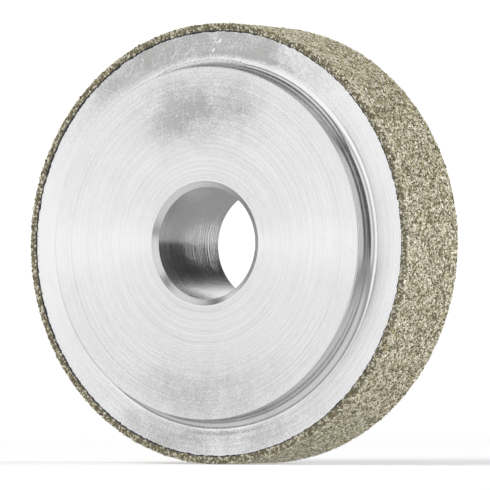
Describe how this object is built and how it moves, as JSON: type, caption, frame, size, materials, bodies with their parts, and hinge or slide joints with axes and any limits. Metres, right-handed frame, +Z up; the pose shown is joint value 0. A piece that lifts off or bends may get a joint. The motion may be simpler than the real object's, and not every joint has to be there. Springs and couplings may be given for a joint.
{
  "type": "diamond grinding wheel",
  "caption": "Electroplated diamond grinding wheel: turned aluminium hub with a raised boss and a plain through bore, diamond grit in nickel on the rim.",
  "frame": {"origin": "on the wheel's axis, halfway between the boss face and the back face", "axes": "+Y along the axis towards the plain back face, so the raised boss faces -Y; +Z up"},
  "size_m": [0.1, 0.028, 0.1],
  "materials": {
    "turned_aluminium": "turned, fine concentric tool marks and light handling scratches",
    "nickel_plating": "electroplated nickel, matt and grainy",
    "diamond_grains": "single layer of coarse diamond grains, olive and cream, sparkling"
  },
  "bodies": {
    "root": {"hub": "turned_aluminium", "nickel_bond": "nickel_plating", "diamond_grit": "diamond_grains"}
  },
  "joints": []
}
